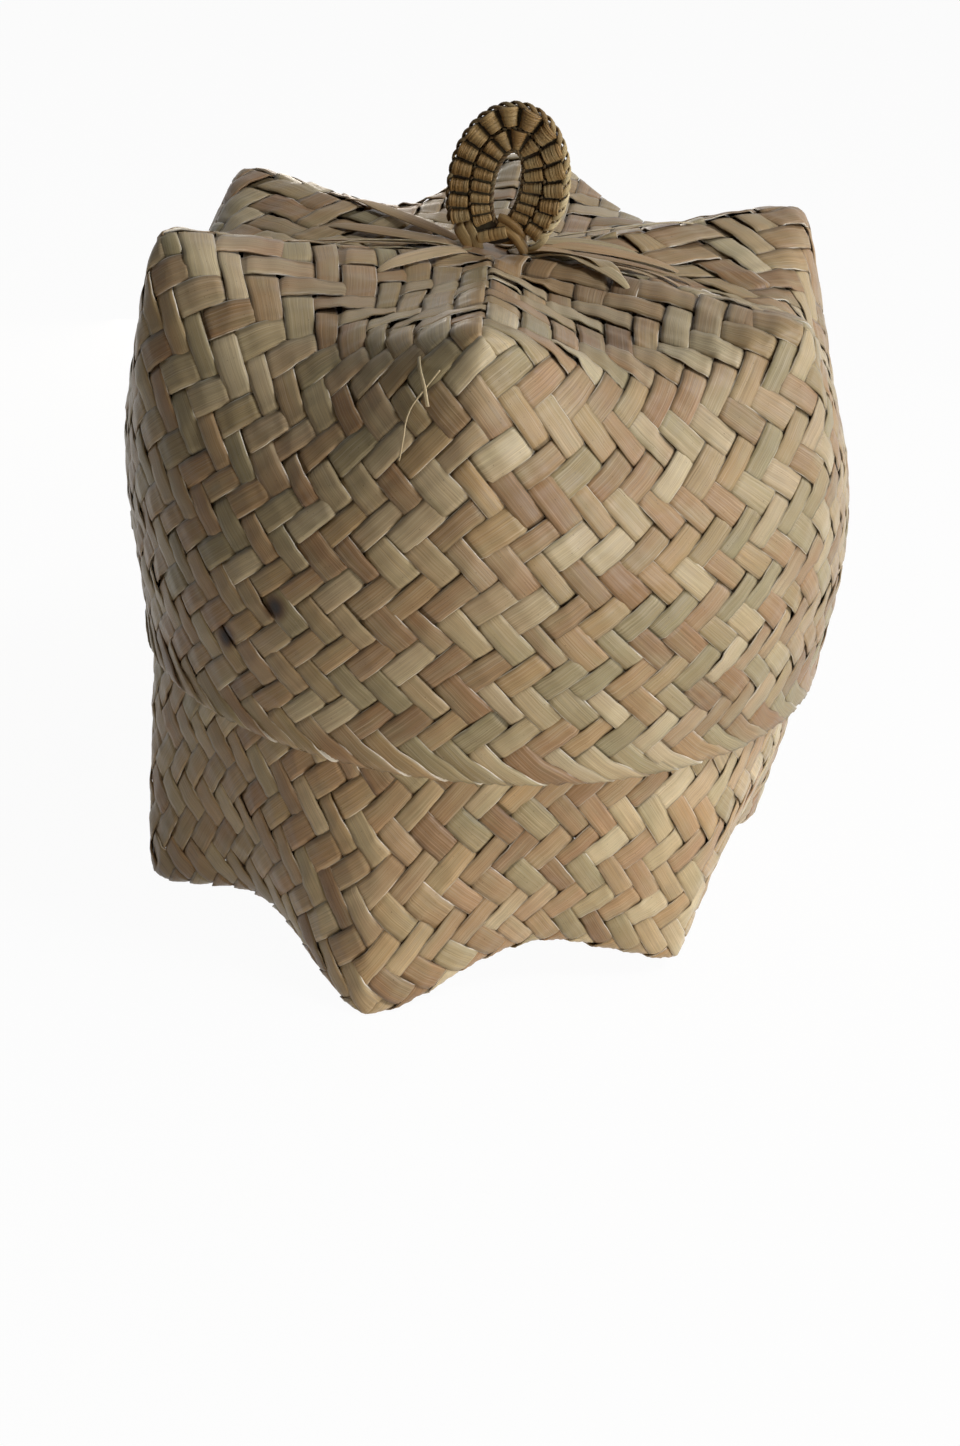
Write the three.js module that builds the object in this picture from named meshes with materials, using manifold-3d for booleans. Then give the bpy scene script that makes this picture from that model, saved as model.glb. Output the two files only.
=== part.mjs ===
// A plaited leaf box: a round base on six star feet, a deep lid whose top is a six-pointed star,
// and a rosette loop of rolled leaf tied through the lid's centre as its knob.
// Millimetres, +Z up, origin on the axis at floor level, the knob facing -Y.
import * as THREE from "three";
import { mergeVertices } from "three/addons/utils/BufferGeometryUtils.js";
import Module from "manifold-3d";

const { degToRad, lerp } = THREE.MathUtils;

// The plait, shared by base and lid
const STAR_POINTS = 6;
const WALL = 2.0;              // two crossing strips and the slack between them
const RIDGE_ROUNDING = 1.25;   // 1 is a knife-edge ridge, more is rounder
const VALLEY_STEPS = 4;        // facets from a ridge to the next valley
const STAR_ROWS = 5;           // facets from the star's centre to its corners
const WALL_ROWS = 11;          // facets from the corners to the rim

// Base
const BASE_HEIGHT = 143.6;     // floor to rim
const BASE_CORNER_RADIUS = 86.0;
const BASE_VALLEY_RADIUS = 73.0;
const BASE_VALLEY_RISE = 12.4; // the valleys' height over the feet
const BASE_CENTRE_RISE = 10.5; // the star's centre over the feet
const BASE_RIM_RADIUS = 86.6;
const BASE_BELLY = 2.8;        // swell of the wall, lowest third
const BASE_BELLY_SKEW = 2;
const BASE_VALLEY_FILL = 2.8;  // how soon the wall over a valley comes out to full width
const FOOT_WEAR = 0.9;         // height worn off each foot tip, which leaves it flat

// Lid
const LID_HEIGHT = 110.0;      // rim to star corners
const LID_CORNER_RADIUS = 88.0;
const LID_VALLEY_RADIUS = 74.0;
const LID_VALLEY_DIP = 11.3;   // the valleys' depth under the corners
const LID_CENTRE_DIP = 5.1;
const LID_BELLY = 7.0;
const LID_BELLY_SKEW = 1.5;
const LID_VALLEY_FILL = 2.4;
const LID_CENTRE_SHIFT = -4.5; // the star's centre stands this far off the axis, along X
const LID_TURN = 11.0;         // degrees that the lid is turned on the base
const LID_FIT = 0.5;           // gap between the lid's mouth and the base's widest ring
const SEAT_GAP = 0.3;          // gap between the base's rim and the valleys that sit on it
const TIE_HOLE_RADIUS = 4.8;   // gap at the star's centre that the knob's tails pass through

// Knob
const KNOB_MIDDLE = 17.0;      // height of the loop's widest place over the lid
const KNOB_WIDTH = 29.6;
const KNOB_ABOVE = 19.6;       // the outer edge's reach above the widest place
const KNOB_BELOW_LEFT = 24.5;  // and below it, if the loop were closed: the right side curls in sooner
const KNOB_BELOW_RIGHT = 16.3;
const KNOB_LEAN = 9.0;         // degrees, towards +X
const EYE_WIDTH = 7.4;
const EYE_ABOVE = 8.3;
const EYE_BELOW = 10.4;
const ROLLS_IN_RING = 16;
const OUTER_RING_ENDS = [214, -39];  // degrees at the loop's two lower ends, left and right
const INNER_RING_ENDS = [232, -38];
const ROLL_CROWDING = 0.15;    // how much closer the rolls stand at the loop's ends than evenly
const ROLL_SKEW = 15.0;        // degrees that the rolls on the right stand up from square
const ROLL_CLEARANCE = 0.3;    // between a roll and its neighbours
const ROLL_EDGE = 0.35;        // rounding at a roll's ends
const ROLL_SIDES = 10;
const LACE_RADIUS = 0.4;
const EDGE_LACE_HALF_WIDTH = 0.7;
const EDGE_LACE_HALF_DEPTH = 1.5;
const TAIL_RADIUS = 1.3;
const TAIL_SPREAD = 2.3;       // each tail's distance from the axis at the hole
const LEFT_TAIL = [[-8.2, 1.8], [-5.2, 1.5], [-2.8, -0.3]];  // X and Z in the knob's plane
const RIGHT_TAIL = [[4.2, 6.6], [5.0, 4.6], [3.7, 2.4], [2.4, -0.2]];
const WRAP_RADIUS = 1.4;       // the cross wrap that binds the loop's foot under the eye
const WRAP_LENGTH = 5.0;
const WRAP_START = [-2.4, 2.6];
const WRAP_SLOPE = 30.0;       // degrees
const TIE_RADIUS = 7.5;
const TIE_SHOULDER = 5.2;      // radius of the tie's flatter top and bottom
const TIE_THICKNESS = 4.4;
const TIE_CROWN = 0.8;         // fall of the tie's top from its middle to its shoulder
const LACE_STEPS = 40;
const LACE_SIDES = 6;
const TAIL_STEPS = 10;
const TAIL_SIDES = 8;

// Lines round the loop, as shares of the way from the eye's edge to the loop's outer edge
const EYE_LINE = 0;
const MIDDLE_LINE = 0.5;
const EDGE_LINE = 1;

const LEAF_COLOUR = 0xa18c66;
const ROLL_COLOUR = 0x6f5732;
const LACE_COLOUR = 0x8c7650;

const wasm = await Module();
wasm.setup();

function leafMesh(name, geometry, colour) {
  const material = new THREE.MeshStandardMaterial({ color: colour, roughness: 0.7, metalness: 0 });
  const mesh = new THREE.Mesh(geometry, material);
  mesh.name = name;
  return mesh;
}

function indexedGeometry(points, triangles) {
  const geometry = new THREE.BufferGeometry();
  geometry.setAttribute("position", new THREE.Float32BufferAttribute(points.flat(), 3));
  geometry.setIndex(triangles.flat());
  geometry.computeVertexNormals();
  return geometry;
}

function toSolid(geometry) {
  const bare = geometry.clone();
  bare.deleteAttribute("normal");
  bare.deleteAttribute("uv");
  const merged = mergeVertices(bare);
  return new wasm.Manifold(new wasm.Mesh({
    numProp: 3,
    vertProperties: Float32Array.from(merged.attributes.position.array),
    triVerts: Uint32Array.from(merged.index.array),
  }));
}

function fromSolid(solid) {
  const { vertProperties, triVerts } = solid.getMesh();
  const geometry = new THREE.BufferGeometry();
  geometry.setAttribute("position", new THREE.Float32BufferAttribute(vertProperties, 3));
  geometry.setIndex(Array.from(triVerts));
  geometry.computeVertexNormals();
  return geometry;
}

// Star shells. A shell's depth runs from 0 at its six corners to its height at the rim.

// Swell of a wall between corner and rim, 1 at its fullest
function swell(share, skew) {
  const peak = (skew ** skew) / ((skew + 1) ** (skew + 1));
  return share * (1 - share) ** skew / peak;
}

// The outer surface's radius and depth at a row, 0 on a ridge and 1 in a valley
function starRow(shell, share, valley) {
  const ridge = [shell.cornerRadius * share, shell.centreDepth * (1 - share)];
  const fold = [shell.valleyRadius * share, lerp(shell.centreDepth, shell.valleyDepth, share)];
  return [lerp(ridge[0], fold[0], valley), lerp(ridge[1], fold[1], valley)];
}

function wallRow(shell, share, valley) {
  const belly = shell.belly * swell(share, shell.bellySkew);
  const inset = (shell.rimRadius - shell.valleyRadius) * (1 - share) ** shell.valleyFill;
  const ridge = [lerp(shell.cornerRadius, shell.rimRadius, share) + belly, shell.height * share];
  const fold = [shell.rimRadius - inset + belly, lerp(shell.valleyDepth, shell.height, share)];
  return [lerp(ridge[0], fold[0], valley), lerp(ridge[1], fold[1], valley)];
}

function outerProfile(shell, valley) {
  const profile = [];
  const firstShare = shell.holeRadius / shell.cornerRadius;
  for (let row = 0; row < STAR_ROWS; row += 1) {
    profile.push(starRow(shell, lerp(firstShare, 1, row / STAR_ROWS), valley));
  }
  for (let row = 0; row <= WALL_ROWS; row += 1) {
    profile.push(wallRow(shell, row / WALL_ROWS, valley));
  }
  return profile;
}

// Unit normal of one profile segment, pointing into the shell
function inwardNormal(from, to) {
  const along = new THREE.Vector2(to[0] - from[0], to[1] - from[1]).normalize();
  return new THREE.Vector2(-along.y, along.x);
}

// The inner surface lies one wall inside the outer one, mitred where the profile turns
function innerProfile(profile, isClosedAtCentre) {
  const last = profile.length - 1;
  return profile.map((point, row) => {
    const before = inwardNormal(profile[Math.max(row - 1, 0)], profile[Math.max(row, 1)]);
    const after = inwardNormal(profile[Math.min(row, last - 1)], profile[Math.min(row + 1, last)]);
    const mitre = before.clone().add(after).divideScalar(1 + before.dot(after)).multiplyScalar(WALL);
    const radius = row === 0 && isClosedAtCentre ? 0 : point[0] + mitre.x;
    const depth = row === last ? point[1] : point[1] + mitre.y;
    return [radius, depth];
  });
}

function valleyShare(step) {
  const stepsInPoint = 2 * VALLEY_STEPS;
  const fromRidge = Math.min(step % stepsInPoint, stepsInPoint - (step % stepsInPoint));
  return Math.sin((fromRidge / VALLEY_STEPS) * Math.PI / 2) ** RIDGE_ROUNDING;
}

// How much of the centre's shift a row takes: all at the centre, none from the corners outwards
function shiftShare(row, rows) {
  return Math.max(0, 1 - Math.min(row, rows - 1 - row) / STAR_ROWS);
}

// Closed solid of one shell; toZ turns a depth into a height, and a lid's depths run downwards
function shellGeometry(shell, firstRidge, toZ, depthsRunUp) {
  const around = STAR_POINTS * 2 * VALLEY_STEPS;
  const isClosedAtCentre = shell.holeRadius === 0;
  const columns = [];
  for (let step = 0; step < around; step += 1) {
    const outer = outerProfile(shell, valleyShare(step));
    const inner = innerProfile(outer, isClosedAtCentre);
    columns.push([...outer, ...inner.reverse()]);
  }
  const rows = columns[0].length;
  const points = [];
  const index = [];
  for (let row = 0; row < rows; row += 1) {
    const isPole = isClosedAtCentre && (row === 0 || row === rows - 1);
    index.push([]);
    for (let step = 0; step < around; step += 1) {
      if (step === 0 || !isPole) {
        const [radius, depth] = columns[step][row];
        const angle = firstRidge + (2 * Math.PI * step) / around;
        const shift = shell.centreShift * shiftShare(row, rows);
        points.push([radius * Math.cos(angle) + shift, radius * Math.sin(angle), toZ(depth)]);
      }
      index[row].push(points.length - 1);
    }
  }
  const triangles = [];
  const addTriangle = (a, b, c) => {
    if (a !== b && b !== c && c !== a) triangles.push(depthsRunUp ? [a, b, c] : [a, c, b]);
  };
  const bands = isClosedAtCentre ? rows - 1 : rows;
  for (let row = 0; row < bands; row += 1) {
    const near = index[row];
    const far = index[(row + 1) % rows];
    for (let step = 0; step < around; step += 1) {
      const next = (step + 1) % around;
      addTriangle(near[step], near[next], far[next]);
      addTriangle(near[step], far[next], far[step]);
    }
  }
  return indexedGeometry(points, triangles);
}

const baseShell = {
  height: BASE_HEIGHT + FOOT_WEAR,
  cornerRadius: BASE_CORNER_RADIUS,
  valleyRadius: BASE_VALLEY_RADIUS,
  valleyDepth: BASE_VALLEY_RISE + FOOT_WEAR,
  centreDepth: BASE_CENTRE_RISE + FOOT_WEAR,
  rimRadius: BASE_RIM_RADIUS,
  belly: BASE_BELLY,
  bellySkew: BASE_BELLY_SKEW,
  valleyFill: BASE_VALLEY_FILL,
  holeRadius: 0,
  centreShift: 0,
};

// The lid's mouth passes over the base's widest ring
const baseWidestRadius = Math.max(...outerProfile(baseShell, 0).map(([radius]) => radius));
const lidShell = {
  height: LID_HEIGHT,
  cornerRadius: LID_CORNER_RADIUS,
  valleyRadius: LID_VALLEY_RADIUS,
  valleyDepth: LID_VALLEY_DIP,
  centreDepth: LID_CENTRE_DIP,
  rimRadius: baseWidestRadius + LID_FIT + WALL,
  belly: LID_BELLY,
  bellySkew: LID_BELLY_SKEW,
  valleyFill: LID_VALLEY_FILL,
  holeRadius: TIE_HOLE_RADIUS,
  centreShift: LID_CENTRE_SHIFT,
};

// Depth inside the lid at which its valleys are as narrow as the base's rim
function seatDepth() {
  const inside = innerProfile(outerProfile(lidShell, 1), false).reverse();
  const above = inside.findIndex(([radius]) => radius < BASE_RIM_RADIUS);
  const [wideRadius, wideDepth] = inside[above - 1];
  const [narrowRadius, narrowDepth] = inside[above];
  const share = (wideRadius - BASE_RIM_RADIUS) / (wideRadius - narrowRadius);
  return lerp(wideDepth, narrowDepth, share);
}

const frontRidge = -Math.PI / 2;
const lidCornerZ = BASE_HEIGHT + SEAT_GAP + seatDepth();
const lidCentreZ = lidCornerZ - LID_CENTRE_DIP;

function makeBase() {
  const shell = shellGeometry(baseShell, frontRidge, (depth) => depth - FOOT_WEAR, true);
  const reach = 3 * BASE_CORNER_RADIUS;
  const floor = new THREE.BoxGeometry(reach, reach, reach).translate(0, 0, -reach / 2);
  return leafMesh("base_shell", fromSolid(toSolid(shell).subtract(toSolid(floor))), LEAF_COLOUR);
}

function makeLid() {
  const ridge = frontRidge + degToRad(LID_TURN);
  const shell = shellGeometry(lidShell, ridge, (depth) => lidCornerZ - depth, false);
  return leafMesh("lid_shell", shell, LEAF_COLOUR);
}

// Knob. Its loop lies in its own XZ plane, with the lid's centre as origin.

// A point on one of the lines round the loop
function loopPoint(share, angle) {
  const halfWidth = lerp(EYE_WIDTH, KNOB_WIDTH, share) / 2;
  const above = lerp(EYE_ABOVE, KNOB_ABOVE, share);
  const leftness = (1 - Math.cos(angle)) / 2;
  const below = lerp(EYE_BELOW, lerp(KNOB_BELOW_RIGHT, KNOB_BELOW_LEFT, leftness), share);
  const reach = Math.sin(angle) < 0 ? below : above;
  return new THREE.Vector3(halfWidth * Math.cos(angle), 0, KNOB_MIDDLE + reach * Math.sin(angle));
}

// Angles of stations clockwise round a line, from its left end to its right end: evenly spaced, or
// crowded towards the ends
function ringAngles(share, ends, count, crowding) {
  const samples = 720;
  const [from, to] = ends.map(degToRad);
  const angleAt = (sample) => lerp(from, to, sample / samples);
  const travelled = [0];
  for (let sample = 1; sample <= samples; sample += 1) {
    const step = loopPoint(share, angleAt(sample)).distanceTo(loopPoint(share, angleAt(sample - 1)));
    travelled.push(travelled[sample - 1] + step);
  }
  return Array.from({ length: count }, (_, place) => {
    const even = place / (count - 1);
    const target = travelled[samples] * (even - (crowding * Math.sin(2 * Math.PI * even)) / (2 * Math.PI));
    const after = Math.max(1, travelled.findIndex((distance) => distance >= target));
    const part = (target - travelled[after - 1]) / (travelled[after] - travelled[after - 1]);
    return angleAt(after - 1 + part);
  });
}

// Unit vector clockwise along a line of the loop
function lineDirection(share, angle) {
  const nudge = 0.01;
  return loopPoint(share, angle - nudge).sub(loopPoint(share, angle + nudge)).normalize();
}

// The roll at one station: where it starts, which way it points and how long it is. It stands square
// on its ring, or skewed on the right. The inner ring's rolls end at the middle lace, and the outer
// ring's begin there.
function rollPlace(innerLace, outerLace, angle) {
  const line = (innerLace + outerLace) / 2;
  const middle = loopPoint(line, angle);
  const along = lineDirection(line, angle);
  const square = new THREE.Vector3(-along.z, 0, along.x);
  const skew = -degToRad(ROLL_SKEW) * Math.max(Math.cos(angle), 0);
  const spoke = square.clone().applyAxisAngle(new THREE.Vector3(0, 1, 0), skew);
  const reach = (lace) => loopPoint(lace, angle).sub(middle).dot(square) / spoke.dot(square);
  const edgeRoom = outerLace === EDGE_LINE ? EDGE_LACE_HALF_WIDTH : LACE_RADIUS;
  const from = reach(innerLace) + LACE_RADIUS + ROLL_CLEARANCE;
  const to = reach(outerLace) - edgeRoom - ROLL_CLEARANCE;
  const start = middle.clone().addScaledVector(spoke, from);
  const end = middle.clone().addScaledVector(spoke, to);
  return { angle, spoke, start, end };
}

// Half the distance to the nearer neighbour at one end, less half the clearance
function endRadius(rolls, place, end) {
  const neighbours = [rolls[place - 1], rolls[place + 1]].filter(Boolean);
  const distances = neighbours.map((roll) => roll[end].distanceTo(rolls[place][end]));
  return (Math.min(...distances) - ROLL_CLEARANCE) / 2;
}

// How far a roll's end stands back so that its rim clears a lace that crosses it askew
function skewAllowance(share, roll, radius) {
  return radius * Math.abs(lineDirection(share, roll.angle).dot(roll.spoke));
}

// A rolled strip: a cone about its own axis with eased ends
function rollGeometry(startRadius, farRadius, length) {
  const profile = [
    [0, 0],
    [startRadius - ROLL_EDGE / 2, 0],
    [startRadius, ROLL_EDGE],
    [farRadius, length - ROLL_EDGE],
    [farRadius - ROLL_EDGE, length],
    [0, length],
  ];
  return new THREE.LatheGeometry(profile.map(([x, y]) => new THREE.Vector2(x, y)), ROLL_SIDES);
}

function makeRing(name, isOuter) {
  const innerLace = isOuter ? MIDDLE_LINE : EYE_LINE;
  const outerLace = isOuter ? EDGE_LINE : MIDDLE_LINE;
  const ends = isOuter ? OUTER_RING_ENDS : INNER_RING_ENDS;
  const angles = ringAngles((innerLace + outerLace) / 2, ends, ROLLS_IN_RING, ROLL_CROWDING);
  const rolls = angles.map((angle) => rollPlace(innerLace, outerLace, angle));
  return rolls.map((roll, place) => {
    const startRadius = endRadius(rolls, place, "start");
    const farRadius = endRadius(rolls, place, "end");
    const standBack = skewAllowance(innerLace, roll, startRadius);
    const standOff = skewAllowance(outerLace, roll, farRadius);
    const length = roll.start.distanceTo(roll.end) - standBack - standOff;
    const number = String(place + 1).padStart(2, "0");
    const geometry = rollGeometry(startRadius, farRadius, length);
    const mesh = leafMesh(`${name}_${number}`, geometry, ROLL_COLOUR);
    mesh.position.copy(roll.start).addScaledVector(roll.spoke, standBack);
    mesh.quaternion.setFromUnitVectors(new THREE.Vector3(0, 1, 0), roll.spoke);
    return mesh;
  });
}

// A tube of elliptical section along a path in the knob's plane
function planeTube(path, halfWidth, halfDepth, sides, isClosed) {
  const last = path.length - 1;
  const points = [];
  path.forEach((point, place) => {
    const before = path[place === 0 ? (isClosed ? last : 0) : place - 1];
    const after = path[place === last ? (isClosed ? 0 : last) : place + 1];
    const along = after.clone().sub(before).normalize();
    for (let side = 0; side < sides; side += 1) {
      const turn = (2 * Math.PI * side) / sides;
      const across = halfWidth * Math.cos(turn);
      const deep = halfDepth * Math.sin(turn);
      points.push([point.x - along.z * across, point.y - deep, point.z + along.x * across]);
    }
  });
  const triangles = [];
  const stretches = isClosed ? path.length : last;
  for (let place = 0; place < stretches; place += 1) {
    const near = place * sides;
    const far = ((place + 1) % path.length) * sides;
    for (let side = 0; side < sides; side += 1) {
      const next = (side + 1) % sides;
      triangles.push([near + side, near + next, far + next], [near + side, far + next, far + side]);
    }
  }
  if (!isClosed) {
    const end = last * sides;
    for (let side = 1; side < sides - 1; side += 1) {
      triangles.push([0, side + 1, side], [end, end + side, end + side + 1]);
    }
  }
  return indexedGeometry(points, triangles);
}

// The eye's lace is a closed ring; the other two end where the tails leave the loop
function makeLaces() {
  const eyePath = Array.from({ length: LACE_STEPS }, (_, step) => (
    loopPoint(EYE_LINE, (-2 * Math.PI * step) / LACE_STEPS)));
  const arcPath = (line) => (
    ringAngles(line, OUTER_RING_ENDS, LACE_STEPS, 0).map((angle) => loopPoint(line, angle)));
  const eye = planeTube(eyePath, LACE_RADIUS, LACE_RADIUS, LACE_SIDES, true);
  const middle = planeTube(arcPath(MIDDLE_LINE), LACE_RADIUS, LACE_RADIUS, LACE_SIDES, false);
  const edgePath = arcPath(EDGE_LINE);
  const edge = planeTube(edgePath, EDGE_LACE_HALF_WIDTH, EDGE_LACE_HALF_DEPTH, LACE_SIDES, false);
  return [
    leafMesh("knob_eye_lace", eye, LACE_COLOUR),
    leafMesh("knob_middle_lace", middle, LACE_COLOUR),
    leafMesh("knob_edge_lace", edge, LACE_COLOUR),
  ];
}

// A tail gathers strands at the loop's foot and runs down through the hole to the lid's underside
function makeTail(name, places) {
  const side = Math.sign(places[0][0]);
  const path = new THREE.CatmullRomCurve3([...places, [side * TAIL_SPREAD, -WALL]].map(
    ([x, z]) => new THREE.Vector3(x, 0, z),
  ));
  const points = path.getPoints(TAIL_STEPS);
  const geometry = planeTube(points, TAIL_RADIUS, TAIL_RADIUS, TAIL_SIDES, false);
  return leafMesh(name, geometry, ROLL_COLOUR);
}

// The cross wrap lies aslant between the eye's lower tip and the tails
function makeCrossWrap() {
  const geometry = rollGeometry(WRAP_RADIUS, WRAP_RADIUS, WRAP_LENGTH);
  const wrap = leafMesh("knob_cross_wrap", geometry, ROLL_COLOUR);
  const slope = degToRad(WRAP_SLOPE);
  wrap.position.set(WRAP_START[0], 0, WRAP_START[1]);
  wrap.quaternion.setFromUnitVectors(
    new THREE.Vector3(0, 1, 0),
    new THREE.Vector3(Math.cos(slope), 0, Math.sin(slope)),
  );
  return wrap;
}

// A flattened overhand tie under the lid, which keeps the tails from pulling out
function makeTie() {
  const top = -WALL - SEAT_GAP;
  const profile = [
    [0, top - TIE_THICKNESS],
    [TIE_SHOULDER, top - TIE_THICKNESS],
    [TIE_RADIUS, top - TIE_THICKNESS / 2],
    [TIE_SHOULDER, top - TIE_CROWN],
    [0, top],
  ];
  const points = profile.map(([radius, height]) => new THREE.Vector2(radius, height));
  const geometry = new THREE.LatheGeometry(points, 2 * ROLL_SIDES).rotateX(Math.PI / 2);
  const tie = leafMesh("knob_tie", geometry, LACE_COLOUR);
  tie.position.set(LID_CENTRE_SHIFT, 0, lidCentreZ);
  return tie;
}

function makeKnob() {
  const knob = new THREE.Group();
  knob.add(...makeRing("outer_roll", true), ...makeRing("inner_roll", false), ...makeLaces());
  knob.add(makeTail("knob_tail_left", LEFT_TAIL), makeTail("knob_tail_right", RIGHT_TAIL));
  knob.add(makeCrossWrap());
  knob.position.set(LID_CENTRE_SHIFT, 0, lidCentreZ);
  knob.rotation.y = degToRad(KNOB_LEAN);
  return knob;
}

const box = new THREE.Group();
box.add(makeBase(), makeLid(), makeKnob(), makeTie());

export default box;
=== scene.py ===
import math

import bpy
import numpy as np
from mathutils import Matrix, Vector


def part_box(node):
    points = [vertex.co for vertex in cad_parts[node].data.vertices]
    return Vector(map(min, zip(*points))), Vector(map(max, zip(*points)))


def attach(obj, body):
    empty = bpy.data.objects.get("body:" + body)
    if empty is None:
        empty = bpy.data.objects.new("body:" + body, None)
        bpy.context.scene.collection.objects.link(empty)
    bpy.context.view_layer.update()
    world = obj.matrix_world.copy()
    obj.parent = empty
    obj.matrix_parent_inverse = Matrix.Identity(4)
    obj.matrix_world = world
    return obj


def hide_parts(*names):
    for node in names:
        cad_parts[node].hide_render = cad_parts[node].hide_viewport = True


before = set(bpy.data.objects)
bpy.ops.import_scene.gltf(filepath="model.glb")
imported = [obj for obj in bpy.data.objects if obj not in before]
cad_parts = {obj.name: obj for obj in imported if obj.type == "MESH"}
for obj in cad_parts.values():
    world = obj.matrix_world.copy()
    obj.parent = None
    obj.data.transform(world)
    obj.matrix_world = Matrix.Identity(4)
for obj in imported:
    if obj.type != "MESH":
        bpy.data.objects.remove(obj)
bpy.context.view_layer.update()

# The photographer's stand: a camera about 0.6 m from the box, 27 degrees over the table and slightly
# tilted, on a white sweep that runs out of view. All of it is stage and no part of the box.

MM = 0.001
scene = bpy.context.scene
scene.view_settings.view_transform = "Standard"
bpy.ops.object.select_all(action="DESELECT")

CAMERA_TURN = math.radians(13.61)
CAMERA_TILT = math.radians(26.907)
CAMERA_ROLL = math.radians(4.739)
CAMERA_DISTANCE = 622.4 * MM
CAMERA_TARGET = Vector((2.34, 0.57, 40.3)) * MM
LENS = 55.16

forward = Matrix.Rotation(CAMERA_TURN, 3, "Z") @ Vector((0, math.cos(CAMERA_TILT), -math.sin(CAMERA_TILT)))
level_right = Matrix.Rotation(CAMERA_TURN, 3, "Z") @ Vector((1, 0, 0))
level_up = level_right.cross(forward)
right = level_right * math.cos(CAMERA_ROLL) + level_up * math.sin(CAMERA_ROLL)
up = level_up * math.cos(CAMERA_ROLL) - level_right * math.sin(CAMERA_ROLL)
bpy.ops.object.camera_add()
camera = bpy.context.object
camera.name = "camera"
camera.data.lens = LENS
camera.data.clip_start = 0.01
axes = Matrix((right, up, -forward)).transposed().to_4x4()
camera.matrix_world = Matrix.Translation(CAMERA_TARGET - forward * CAMERA_DISTANCE) @ axes
scene.camera = camera


def add_node(tree, kind, inputs=None, **settings):
    """One shader node with its settings; an input is a value or another node's output socket."""
    made = tree.nodes.new("ShaderNode" + kind)
    for name, value in settings.items():
        setattr(made, name, value)
    for socket, value in (inputs or {}).items():
        if isinstance(value, bpy.types.NodeSocket):
            tree.links.new(value, made.inputs[socket])
        else:
            made.inputs[socket].default_value = value
    return made


def srgb(code):
    """Linear colour of an sRGB hex value."""
    parts = [int(code[place:place + 2], 16) / 255 for place in (1, 3, 5)]
    linear = [part / 12.92 if part <= 0.04045 else ((part + 0.055) / 1.055) ** 2.4 for part in parts]
    return (*linear, 1)


def sees_background(tree):
    """1 for rays that show the white surround: from the camera, off a gloss or through glass."""
    path = add_node(tree, "LightPath")
    gloss = add_node(tree, "Math", {0: path.outputs["Is Camera Ray"], 1: path.outputs["Is Glossy Ray"]},
                     operation="MAXIMUM")
    glass = add_node(tree, "Math", {0: gloss.outputs[0], 1: path.outputs["Is Transmission Ray"]},
                     operation="MAXIMUM")
    return glass.outputs[0]


# White paper sweep: matt, and lifted to the photograph's pure white for the eye, so that only a faint
# contact shadow stays on it. Seen from below it is clear, so that the underside can be looked at.
FLOOR_SIZE = 12
FLOOR_GLOW_SHARE = 0.96
bpy.ops.mesh.primitive_plane_add(size=FLOOR_SIZE)
floor = bpy.context.object
floor.name = "floor"
paper = bpy.data.materials.new("white_paper_sweep")
paper.use_nodes = True
tree = paper.node_tree
tree.nodes.clear()
matt = add_node(tree, "BsdfDiffuse", {"Color": srgb("#ece6da")})
glow = add_node(tree, "Emission", {"Color": (1, 1, 1, 1), "Strength": 1})
shown = add_node(tree, "Math", {0: sees_background(tree), 1: FLOOR_GLOW_SHARE}, operation="MULTIPLY")
sheet = add_node(tree, "MixShader", {"Fac": shown.outputs[0], 1: matt.outputs[0], 2: glow.outputs[0]})
clear = add_node(tree, "BsdfTransparent")
side = add_node(tree, "NewGeometry")
whole = add_node(tree, "MixShader", {"Fac": side.outputs["Backfacing"], 1: sheet.outputs[0],
                                     2: clear.outputs[0]})
add_node(tree, "OutputMaterial", {"Surface": whole.outputs[0]})
floor.data.materials.append(paper)

# The surround is pure white to the eye and gives almost no light, so that the softboxes shape the box
WORLD_STRENGTH = 0.005
world = bpy.data.worlds.new("studio_surround")
world.use_nodes = True
scene.world = world
tree = world.node_tree
tree.nodes.clear()
strength = add_node(tree, "MapRange", {"Value": sees_background(tree), "To Min": WORLD_STRENGTH,
                                       "To Max": 1})
surround = add_node(tree, "Background", {"Color": (1, 1, 1, 1), "Strength": strength.outputs[0]})
add_node(tree, "OutputWorld", {"Surface": surround.outputs[0]})

# Softboxes: a low key and a side light from the right, two from above, a warm bounce off the table and a
# fill behind. Azimuth and height are in degrees as the camera counts them, distance and size in metres,
# then come watts and colour.
LAMP_AIM = Vector((0, 0, 0.1))
SOFTBOXES = {
    "key_softbox": (58, 3, 1.5, 0.5, 16.2, "#eef5ff"),
    "side_softbox": (100, 12, 1.5, 0.5, 6.6, "#c4d8ff"),
    "high_softbox": (118, 46, 1.5, 0.6, 4, "#ffeed8"),
    "top_softbox": (76, 54, 1.5, 0.3, 13, "#e6efff"),
    "table_bounce": (26, -13, 0.4, 0.16, 0.17, "#ffdcb2"),
    "back_fill": (204, 0, 0.5, 0.2, 0.6, "#fff3e4"),
}
for name, (azimuth, height, distance, size, watts, colour) in SOFTBOXES.items():
    turn, rise = math.radians(azimuth), math.radians(height)
    away = Vector((math.sin(turn) * math.cos(rise), -math.cos(turn) * math.cos(rise), math.sin(rise)))
    bpy.ops.object.light_add(type="AREA", location=away * distance + LAMP_AIM)
    lamp = bpy.context.object
    lamp.name = name
    lamp.rotation_euler = away.to_track_quat("Z", "Y").to_euler()
    lamp.data.size = size
    lamp.data.energy = watts
    lamp.data.color = srgb(colour)[:3]
    lamp.visible_camera = False

# The base: 66 split strips of dried pandan leaf, plaited by hand without nails or glue. Eleven strips cross
# each ridge of a six-pointed star under the box, turn up at its corners into a round wall of two-over,
# two-under twill, and fold in over the rim. The star's six tips are the feet.

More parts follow.
